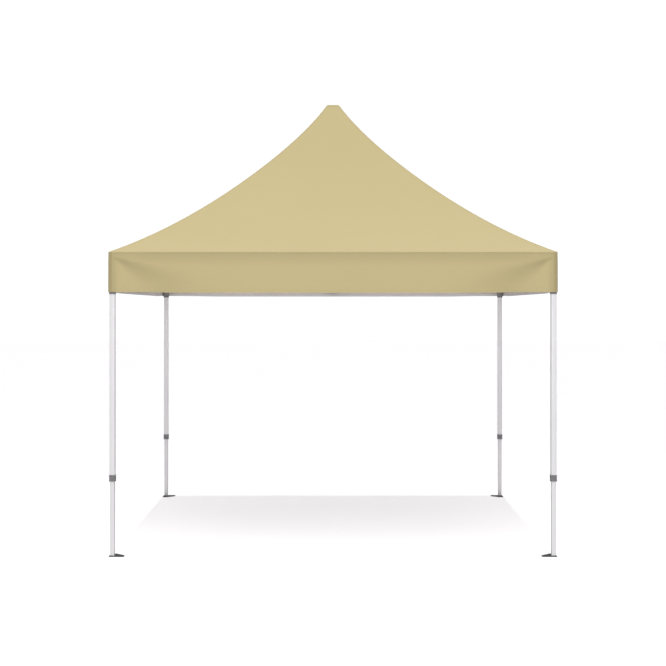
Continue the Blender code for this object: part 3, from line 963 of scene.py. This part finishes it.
def tube_mesh(half, bottom, top, radius):
    """A square tube with rounded corners and its cut ends slightly broken."""
    chamfer = 0.0004
    profile = [(half - chamfer, bottom), (half, bottom + chamfer), (half, top - chamfer)]
    profile += [(half - chamfer, top), (half - LEG_WALL, top), (half - LEG_WALL, bottom)]
    return square_sweep(concentric(profile, half, radius))


def on_back_face(mesh, quarter, reach, height):
    """Moves a mesh made along Z out from a leg's axis, at a height, to face the tent's back."""
    angle = QUARTER_TURN * (1 - quarter)
    out = Vector((round(math.cos(angle)), round(math.sin(angle)), 0))
    return along_axis(mesh, out * reach + Vector((0, 0, height)), out)


def lower_tube(quarter):
    """The sliding tube, with a row of setting holes in the face towards the tent's back."""
    tube = tube_mesh(LOWER_LEG_HALF, LOWER_LEG_BOTTOM, LOWER_LEG_TOP, LEG_RADIUS)
    cutters = []
    for step in range(1, HOLES + 1):
        hole = turned([(HOLE_RADIUS, -0.004), (HOLE_RADIUS, 0.004)], 16)
        height = BUTTON_Z - step * HOLE_PITCH
        cutters.append(on_back_face(hole, quarter, LOWER_LEG_HALF - LEG_WALL / 2, height))
    return fused([tube], cutters)


def banded(bottom, top, rim, steps):
    """A moulding's outer profile with broken edges. A step is its height and the half widths before and
    after it."""
    profile = [(rim - EDGE, bottom), (rim, bottom + EDGE)]
    for height, before, after in steps:
        profile += [(before, height - EDGE), (after, height + EDGE)]
    return [*profile, (rim, top - EDGE), (rim - EDGE, top)]


def collar_mesh():
    """The moulded collar: a rim at each end, a ring half way and a close lip round the lower tube."""
    low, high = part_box("leg_collar_back_right")
    bottom, top, middle = low.z, high.z, (low.z + high.z) / 2
    rim, ring, waist = (high.x - low.x) / 2, (high.x - low.x) / 2 - 0.0005, COLLAR_WAIST
    rim_height, ring_rise, lip_top = 0.0084, 0.0042, bottom + 0.0038
    socket, lip = UPPER_LEG_HALF + 0.0003, LOWER_LEG_HALF + 0.0005
    steps = [(bottom + rim_height, rim, waist), (middle - ring_rise, waist, ring)]
    steps += [(middle + ring_rise, ring, waist), (top - rim_height, waist, rim)]
    profile = [*banded(bottom, top, rim, steps), (socket + EDGE, top), (socket, top - EDGE)]
    profile += [(socket, lip_top), (lip, lip_top), (lip, bottom + EDGE), (lip + EDGE, bottom)]
    return square_sweep([(half, z, max(0.0052 - (rim - half), 0.0012)) for half, z in profile])


def collar_boss(quarter):
    """A raised pad on the collar's back, with the rim of the button's hole."""
    pad = plate(rounded_rectangle(*BOSS_PAD), 0.0, BOSS_THICKNESS, 0.0007)
    return on_back_face(joined([pad, turned(BOSS_RIM)]), quarter, COLLAR_WAIST - FIT, BUTTON_Z)


def button_mesh(quarter):
    """The domed end of the spring pin."""
    dome = [(BUTTON_RADIUS, 0.0)]
    for step in range(6):
        angle = QUARTER_TURN * step / 5
        radius = BUTTON_FLAT + (BUTTON_RADIUS - BUTTON_FLAT) * math.cos(angle)
        dome.append((radius, BUTTON_REACH + BUTTON_DOME * math.sin(angle)))
    return on_back_face(turned(dome, 20), quarter, COLLAR_WAIST, BUTTON_Z)


def foot_mesh():
    """A steel plate with its inner corner cut off, a peg hole, and a weld bead round the leg."""
    low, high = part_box("foot_plate_front_left")
    outer, inner, cut = low.x + LEG_AT, high.x + LEG_AT, FOOT_CUT
    outline = [(outer, outer), (inner, outer), (inner, cut), (cut, inner), (outer, inner)]
    body = plate(outline, 0.0, FOOT_THICKNESS, 0.0007)
    spigot = [(LOWER_LEG_HALF - SPIGOT_GAP, height) for height in (FOOT_THICKNESS / 2, SPIGOT_TOP)]
    spigot = square_sweep(concentric(spigot, LOWER_LEG_HALF, LEG_RADIUS), closed=False)
    hole = turned([(PEG_HOLE_RADIUS, -0.002), (PEG_HOLE_RADIUS, FOOT_THICKNESS + 0.002)])
    moved(hole, Matrix.Translation((PEG_HOLE_OFFSET, PEG_HOLE_OFFSET, 0)))
    bead = [(LOWER_LEG_HALF + out, FOOT_THICKNESS + up) for out, up in WELD_BEAD]
    bead = square_sweep(concentric(bead, LOWER_LEG_HALF, LEG_RADIUS))
    return fused([body, spigot, bead], [hole])


def make_legs(finishes):
    for quarter, name in enumerate(CORNERS):
        leg = f"leg_{name}"
        upper = tube_mesh(UPPER_LEG_HALF, UPPER_LEG_BOTTOM, UPPER_LEG_TOP, LEG_RADIUS)
        rows = (
            ("upper_tube", upper, "lacquer", "upper_leg"),
            ("lower_tube", lower_tube(quarter), "lacquer", "lower_leg", leg),
            ("collar", collar_mesh(), "moulding", "leg_collar"),
            ("collar_boss", collar_boss(quarter), "moulding", None),
            ("collar_button", button_mesh(quarter), "zinc", None),
            ("foot", foot_mesh(), "paint", "foot_plate", leg),
        )
        add_parts(finishes, name, corner_place(quarter), rows)


# Brackets, bars and mast

def arm_place(direction, pivot_z, centre):
    """Places what is made along +X for an arm along +X, +Y, -X or -Y (0 to 3) of a bracket."""
    return Matrix.Translation((*centre, pivot_z)) @ quarter_turn(direction)


def cheek(near, far):
    """One plate of a pair, upright along +X, with a rounded end about its pivot at height 0."""
    outline = [(CHEEK_ROOT, -CHEEK_HALF)]
    for step in range(13):
        angle = math.radians(-78 + 13 * step)
        outline.append((PIVOT_REACH + CHEEK_END * math.cos(angle), CHEEK_END * math.sin(angle)))
    outline.append((CHEEK_ROOT, CHEEK_HALF))
    flat = plate(outline, -max(near, far), -min(near, far), EDGE)
    return moved(flat, Matrix.Rotation(QUARTER_TURN, 4, "X"))


def cheeks(direction, offset, pivot_z, centre=(0, 0)):
    """The pair of plates that hold a bar's end, moved to the left of their direction by the offset."""
    inner = BAR_HALF_WIDTH + FIT
    pair = [cheek(offset + side * inner, offset + side * (inner + CHEEK_THICKNESS)) for side in (-1, 1)]
    return [moved(mesh, arm_place(direction, pivot_z, centre)) for mesh in pair]


def bolt(centre, axis, grip):
    """A hexagon bolt with two washers and a locking nut, its head against the axis."""
    face = grip / 2
    parts = []
    for profile, start, sides in (
        (WASHER, -face - WASHER_THICKNESS, 24),
        (BOLT_HEAD, -face, 6),
        (WASHER, face, 24),
        (BOLT_NUT, face, 6),
        (NUT_RING, face, 20),
        (((THREAD_RADIUS, -grip), *THREAD_END), face, 16),
    ):
        parts.append(turned([(radius, start + height) for radius, height in profile], sides))
    return along_axis(joined(parts), centre, axis)


def cheek_bolt(direction, offset, pivot_z, centre=(0, 0)):
    """The bolt through a pair of cheeks."""
    grip = 2 * (BAR_HALF_WIDTH + FIT + CHEEK_THICKNESS)
    sense = 1 if offset < 0 else -1
    made = bolt((PIVOT_REACH, offset, 0), (0, sense, 0), grip)
    return moved(made, arm_place(direction, pivot_z, centre))


def bar_loft(ends):
    """A bar's rounded oblong carried along +X, through given places, with an inset at each."""
    half_width, half_height, radius = BAR_SIZE
    loops = []
    for along, inset in ends:
        outline = rounded_rectangle(half_width - inset, half_height - inset, radius - inset, 5)
        loops.append([(along, y, z) for y, z in outline])
    return loft(loops)


def bar_pieces(start, end):
    """A rectangular tube between two pivots, and the moulded plugs in its ends."""
    start, end = Vector(start), Vector(end)
    ahead = (end - start).normalized()
    beside = Vector((0, 0, 1)).cross(ahead).normalized()
    turn = Matrix((ahead, beside, ahead.cross(beside))).transposed().to_4x4()
    place = Matrix.Translation(start) @ turn
    low, high = -BAR_REACH + BAR_CAP, (end - start).length + BAR_REACH - BAR_CAP
    break_, inside, proud = 0.0003, 0.0015, 0.0001
    tube = bar_loft([(low, break_), (low + break_, 0), (high - break_, 0), (high, break_)])
    plugs = []
    for at, way in ((low, -1), (high, 1)):
        steps = [(at - way * 0.002, inside), (at, inside), (at, proud)]
        steps += [(at + way * (BAR_CAP - 0.0009), proud), (at + way * BAR_CAP, 0.0010)]
        plugs.append(bar_loft(steps))
    return moved(tube, place), moved(joined(plugs), place)


def sleeve(bottom, top, inside_half, inside_radius):
    """A square sleeve with a raised band at each end."""
    band, waist, depth = BRACKET_HALF, BRACKET_WAIST, 0.006
    profile = banded(bottom, top, band, [(bottom + depth, band, waist), (top - depth, waist, band)])
    outer = concentric(profile, band, BRACKET_RADIUS)
    profile = [(inside_half + EDGE, top), (inside_half, top - EDGE)]
    profile += [(inside_half, bottom + EDGE), (inside_half + EDGE, bottom)]
    return square_sweep(outer + concentric(profile, inside_half, inside_radius))


def slider_bracket():
    low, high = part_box("slider_bracket_back_right")
    body = sleeve(low.z, high.z, UPPER_LEG_HALF + FIT, LEG_RADIUS)
    return fused([body, *cheeks(0, BAR_OFFSET, LOWER_PIVOT_Z), *cheeks(1, -BAR_OFFSET, LOWER_PIVOT_Z)])


def corner_bracket():
    """A leg's cap, which a corner of the roof lies on."""
    top = EAVE_Z - EDGE
    body = sleeve(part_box("corner_bracket_back_right")[0].z, top - 0.004, UPPER_LEG_HALF + FIT, LEG_RADIUS)
    lid = square_sweep(
        [
            (BRACKET_WAIST, UPPER_LEG_TOP + FIT, 0.004),
            (BRACKET_HALF, top - 0.005, BRACKET_RADIUS),
            (BRACKET_HALF, top - 0.003, BRACKET_RADIUS),
            (BRACKET_HALF - 0.0009, top - 0.0012, BRACKET_RADIUS - 0.0009),
            (BRACKET_HALF - 0.003, top, BRACKET_RADIUS - 0.002),
        ],
        closed=False,
    )
    pairs = cheeks(0, -BAR_OFFSET, UPPER_PIVOT_Z) + cheeks(1, BAR_OFFSET, UPPER_PIVOT_Z)
    return fused([body, lid, *pairs])


def mid_bracket(pivot_z, slot_offset, top):
    """The moulded block half way along a side: a slot and a bore for each bar of the side, and cheeks
    for the inner bar."""
    half, low, slot = MID_BRACKET_HALF, pivot_z - MID_BRACKET_RISE, BAR_HALF_WIDTH + FIT
    body = block((-half, -LEG_AT - BRACKET_HALF, low), (half, -LEG_AT + BRACKET_HALF, top), 0.0016, 3)
    middle = -LEG_AT + slot_offset
    cutters = []
    for side in (-1, 1):
        ends = sorted((side * (MID_PIVOT_REACH - 0.0175), side * 0.060))
        slot_top = pivot_z + 0.0165
        cutters.append(block((ends[0], middle - slot, low - 0.01), (ends[1], middle + slot, slot_top)))
        bore = turned([(BORE_RADIUS, -0.002), (BORE_RADIUS, BORE_DEPTH)])
        pivot = (side * MID_PIVOT_REACH, -LEG_AT - BRACKET_HALF, pivot_z)
        cutters.append(along_axis(bore, pivot, (0, 1, 0)))
    return fused([body, *cheeks(1, -slot_offset, pivot_z, (0, -LEG_AT))], cutters)


def side_frame_meshes():
    """The front side's bars, plugs, brackets and bolts."""
    at_leg = LEG_AT - PIVOT_REACH
    bars, bolts = [], []
    for side in (-1, 1):
        for offset, start_z, end_z in CROSSED_BARS:
            start = (side * at_leg, -LEG_AT + offset, start_z)
            bars.append(bar_pieces(start, (side * MID_PIVOT_REACH, -LEG_AT + offset, end_z)))
            pivot = (side * MID_PIVOT_REACH, -LEG_AT + BORE_DEPTH / 2, end_z)
            bolts.append(bolt(pivot, (0, 1, 0), 2 * BRACKET_HALF - BORE_DEPTH))
        crossing = (side * (at_leg + MID_PIVOT_REACH) / 2, -LEG_AT, CROSSING_Z)
        bolts.append(bolt(crossing, (0, 1, 0), 2 * (BAR_OFFSET + BAR_HALF_WIDTH)))
    for offset, pivot_z, _ in CROSSED_BARS:
        bolts.append(cheek_bolt(1, offset, pivot_z, (0, -LEG_AT)))
    upper = mid_bracket(UPPER_PIVOT_Z, BAR_OFFSET, EAVE_Z - 0.0010)
    lower = mid_bracket(LOWER_PIVOT_Z, -BAR_OFFSET, LOWER_PIVOT_Z + MID_BRACKET_RISE)
    tubes, plugs = zip(*bars)
    return joined(tubes), joined(plugs), joined([upper, lower]), joined(bolts)


def inner_frame_meshes():
    """The two bars from the front side's middle to the mast, with their plugs and bolts."""
    far, near = -(LEG_AT - PIVOT_REACH), -PIVOT_REACH
    bars = []
    bolts = [bolt((0, (far + near) / 2, CROSSING_Z), (1, 0, 0), 2 * (BAR_OFFSET + BAR_HALF_WIDTH))]
    for offset, start_z, end_z in CROSSED_BARS:
        bars.append(bar_pieces((-offset, far, start_z), (-offset, near, end_z)))
        bolts.append(cheek_bolt(3, offset, start_z))
    tubes, plugs = zip(*bars)
    return joined(tubes), joined(plugs), joined(bolts)


def hub_mesh(pivot_z, offset, floor=()):
    """A sleeve on the mast with a pair of cheeks for each inner bar."""
    body = sleeve(pivot_z - HUB_RISE, pivot_z + HUB_RISE, MAST_HALF + FIT, 0.004)
    pairs = [cheeks(direction, offset, pivot_z) for direction in range(4)]
    return fused([body, *floor, *sum(pairs, [])])


def mast_cap_mesh():
    """The plate that carries the peak, its socket on the mast, and the ribs between them."""
    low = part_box("mast_cap")[0].z
    top, under = PEAK_Z - CLOTH_THICKNESS - FIT, MAST_BOX[1].z + FIT
    plate_body = square_sweep(
        [
            (CAP_HALF - 0.0015, under, 0.007),
            (CAP_HALF, under + 0.0015, 0.008),
            (CAP_HALF, top - 0.0045, 0.008),
            (CAP_HALF - 0.0012, top - 0.0018, 0.0075),
            (CAP_HALF - 0.0045, top, 0.006),
        ],
        closed=False,
    )
    half, waist, inside, sunk = CAP_SOCKET_HALF, CAP_SOCKET_HALF - 0.0012, MAST_HALF + FIT, under + 0.002
    profile = [(half - EDGE, low), (half, low + EDGE), (half, low + 0.007), (waist, low + 0.0082)]
    profile += [(waist, sunk), (inside, sunk), (inside, low + EDGE), (inside + EDGE, low)]
    socket = square_sweep([(size, z, 0.0045 - (half - size) * 0.3) for size, z in profile])
    root, tip = half - 0.003, CAP_HALF - 0.004
    outline = [(root, low + 0.012), (tip, under - 0.002), (tip, sunk), (root, sunk)]
    ribs = []
    for quarter in range(4):
        rib = plate(outline, -RIB_THICKNESS / 2, RIB_THICKNESS / 2, EDGE)
        ribs.append(moved(rib, quarter_turn(quarter) @ Matrix.Rotation(QUARTER_TURN, 4, "X")))
    return fused([plate_body, socket, *ribs])


def make_brackets(finishes):
    for quarter, name in enumerate(CORNERS):
        bolts = []
        for pivot_z, offset in ((LOWER_PIVOT_Z, BAR_OFFSET), (UPPER_PIVOT_Z, -BAR_OFFSET)):
            bolts += [cheek_bolt(0, offset, pivot_z), cheek_bolt(1, -offset, pivot_z)]
        rows = (
            ("slider", slider_bracket(), "moulding", "slider_bracket"),
            ("leg_head", corner_bracket(), "moulding", "corner_bracket"),
            ("bracket_bolts", joined(bolts), "zinc", None),
        )
        add_parts(finishes, name, corner_place(quarter), rows)


def make_bars(finishes):
    for quarter, name in enumerate(SIDES):
        tubes, plugs, brackets, bolts = side_frame_meshes()
        inner_tubes, inner_plugs, inner_bolts = inner_frame_meshes()
        rows = (
            ("side_bars", tubes, "lacquer", "side_truss"),
            ("side_bar_plugs", plugs, "moulding", None),
            ("mid_brackets", brackets, "moulding", None),
            ("side_bolts", bolts, "zinc", None),
            ("inner_bars", inner_tubes, "lacquer", "inner_truss"),
            ("inner_bar_plugs", inner_plugs, "moulding", None),
            ("inner_bolts", inner_bolts, "zinc", None),
        )
        add_parts(finishes, name, quarter_turn(quarter), rows)


def make_mast(finishes):
    bottom, top = MAST_BOX[0].z, MAST_BOX[1].z
    piece("mast_tube", tube_mesh(MAST_HALF, bottom, top, 0.0042), finishes["lacquer"], ("mast",))
    piece("peak_cap", mast_cap_mesh(), finishes["moulding"], ("mast_cap",))
    upper = hub_mesh(UPPER_PIVOT_Z, -BAR_OFFSET)
    piece("upper_hub", upper, finishes["moulding"], ("mast_hub_upper",))
    floor_half = 0.017
    floor_low = (-floor_half, -floor_half, LOWER_PIVOT_Z - HUB_RISE)
    floor = block(floor_low, (floor_half, floor_half, bottom - 0.0003), EDGE)
    lower = hub_mesh(LOWER_PIVOT_Z, BAR_OFFSET, [floor])
    piece("lower_hub", lower, finishes["moulding"], ("mast_hub_lower",))


# Stage

CAMERA_DISTANCE = 10.630
CAMERA_HEIGHT = 1.659
FOCAL_PIXELS = 1368.25
PICTURE_PIXELS = 666
HORIZON_PIXEL = 308.48
SENSOR_WIDTH = 36.0
FLOOR_HALF = 60

# The surround's strengths, and the lights: place, target, size and power
WHITE = (1, 1, 1, 1)
SEEN_STRENGTH = 1.05
LEVEL_STRENGTH, TOP_STRENGTH = 0.16, 1.19
GROUND_STRENGTH = 1.65
SIDE_SHARE = 0.28
TENT_LIGHTS = {
    "key": ((0, -7.5, 8.6), (0, 0, 2.2), (6.0, 4.0), 235),
    "back": ((0, 7.5, 8.6), (0, 0, 2.2), (6.0, 4.0), 160),
    "front_panel": ((0, -11.0, 1.9), (0, 0, 1.6), (4.0, 3.0), 205),
    "rear_panel": ((0, 11.0, 1.9), (0, 0, 1.6), (4.0, 3.0), 110),
}
FLOOR_GLOW = ((0, -2.6, 3.0), (0, -2.6, 0), (8.0, 0.6), 100)
OVERHEAD_STRENGTH = 0.63
EVEN_STRENGTH = 0.86


def make_camera():
    data = bpy.data.cameras.new("camera")
    data.sensor_width = SENSOR_WIDTH
    data.lens = FOCAL_PIXELS / PICTURE_PIXELS * SENSOR_WIDTH
    data.shift_y = (HORIZON_PIXEL - PICTURE_PIXELS / 2) / PICTURE_PIXELS
    made = added("camera", data)
    made.location = (0, -CAMERA_DISTANCE, CAMERA_HEIGHT)
    made.rotation_euler = (QUARTER_TURN, 0, 0)
    bpy.context.scene.camera = made


def make_floor():
    """The ground under the tent. The surround lights the tent from below in its place."""
    form = bmesh.new()
    bmesh.ops.create_grid(form, x_segments=1, y_segments=1, size=FLOOR_HALF)
    mesh = bpy.data.meshes.new("floor")
    form.to_mesh(mesh)
    form.free()
    mesh.materials.append(studio_floor())
    made = added("floor", mesh)
    made.visible_diffuse = False
    made.visible_glossy = False
    made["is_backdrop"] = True
    return made


def make_world():
    """A white surround where it is seen. It lights the tent from above and, for the ground, from below,
    and less from the sides."""
    world = bpy.data.worlds.new("studio")
    bpy.context.scene.world = world
    world.use_nodes = True
    world.node_tree.nodes.clear()
    nodes = Nodes(world.node_tree)
    way = nodes.add("SeparateXYZ", {0: nodes.add("TexCoord")["Generated"]})
    from_top = nodes.between(way["Z"], 0.0, 0.9, LEVEL_STRENGTH, TOP_STRENGTH)
    from_ground = nodes.between(way["Z"], -0.5, -0.06, GROUND_STRENGTH, 0.0)
    sideways = nodes.calculate("ABSOLUTE", way["X"], 0.0)
    less_from_sides = nodes.between(sideways, 0.15, 0.85, 1.0, SIDE_SHARE)
    all_round = nodes.calculate("MAXIMUM", from_top, from_ground)
    strength = nodes.calculate("MULTIPLY", all_round, less_from_sides)
    lighting = nodes.add("Background", {"Color": WHITE, "Strength": strength})[0]
    seen = nodes.add("Background", {"Color": WHITE, "Strength": SEEN_STRENGTH})[0]
    ray = nodes.add("LightPath")["Is Camera Ray"]
    nodes.add("OutputWorld", {"Surface": nodes.add("MixShader", {0: ray, 1: lighting, 2: seen})[0]})


def light(name, kind, power, receivers):
    """A light that falls only on its receivers."""
    made = added(name, bpy.data.lights.new(name, kind))
    made.data.energy = power
    made.light_linking.receiver_collection = receivers
    return made


def area_light(name, place, target, size, power, receivers):
    """A rectangular light that points at a target."""
    made = light(name, "AREA", power, receivers)
    made.data.shape = "RECTANGLE"
    made.data.size, made.data.size_y = size
    made.location = place
    made.rotation_euler = (Vector(target) - Vector(place)).to_track_quat("-Z", "Y").to_euler()
    made.visible_camera = False
    return made


def overhead_sun(name, strength, receivers):
    made = light(name, "SUN", strength, receivers)
    made.data.angle = math.radians(1)
    return made


def gather(name, objects):
    collection = bpy.data.collections.new(name)
    for item in objects:
        collection.objects.link(item)
    return collection


def make_lights(floor):
    """Soft light on the tent from high and low in front and behind, and the floor's own light: a sun that
    casts the tent's shadow, and a glow and an even light that cast none."""
    tent, ground = gather("tent_pieces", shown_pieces()), gather("ground", [floor])
    for name, values in TENT_LIGHTS.items():
        area_light(name, *values, tent).visible_glossy = name in ("key", "front_panel")
    overhead_sun("overhead", OVERHEAD_STRENGTH, ground)
    glow = area_light("floor_glow", *FLOOR_GLOW, ground)
    for shadowless in (glow, overhead_sun("floor_even", EVEN_STRENGTH, ground)):
        shadowless.light_linking.blocker_collection = ground


def build():
    finishes = {
        "lacquer": (white_lacquer(), "white_lacquer"),
        "moulding": (grey_moulding(), "grey_moulding"),
        "paint": (dark_plate_paint(), "dark_plate_paint"),
        "zinc": (zinc_plate(), None),
    }
    grid = Canopy()
    sheet = make_canopy(grid)
    sewing = piece("canopy_stitching", stitches(seam_lines(grid)), (sewing_thread(), "canopy_fabric"))
    make_legs(finishes)
    make_brackets(finishes)
    make_bars(finishes)
    make_mast(finishes)
    bpy.context.scene.view_settings.view_transform = "Standard"
    floor = make_floor()
    make_world()
    make_lights(floor)
    make_camera()


build()
